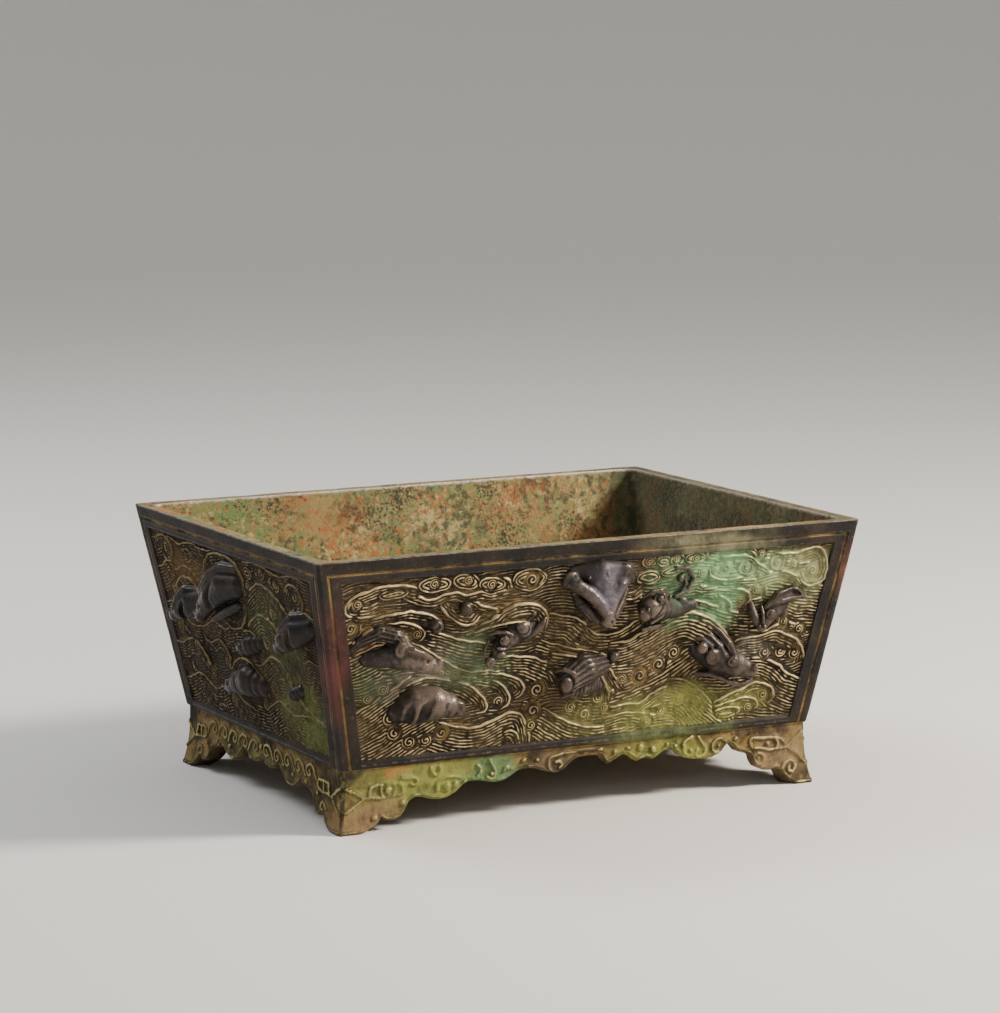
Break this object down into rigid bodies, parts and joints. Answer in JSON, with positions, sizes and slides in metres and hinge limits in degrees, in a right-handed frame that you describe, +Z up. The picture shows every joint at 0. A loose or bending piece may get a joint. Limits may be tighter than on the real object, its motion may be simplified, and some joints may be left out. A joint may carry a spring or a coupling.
{
  "type": "bronze censer",
  "caption": "Rectangular footed bronze censer with tapered walls, framed panels of cast sea beasts among waves and clouds, and scalloped aprons.",
  "frame": {"origin": "centre of the base, on the surface that the four feet stand on", "axes": "+X to the right along the long front side, +Y from the front to the back, +Z up"},
  "size_m": [0.2058, 0.1692, 0.0915],
  "materials": {
    "aged_bronze": "dark brown cast bronze with pale green and yellow-green patina in the recesses"
  },
  "bodies": {
    "root": {"censer_body": "aged_bronze"}
  },
  "joints": []
}
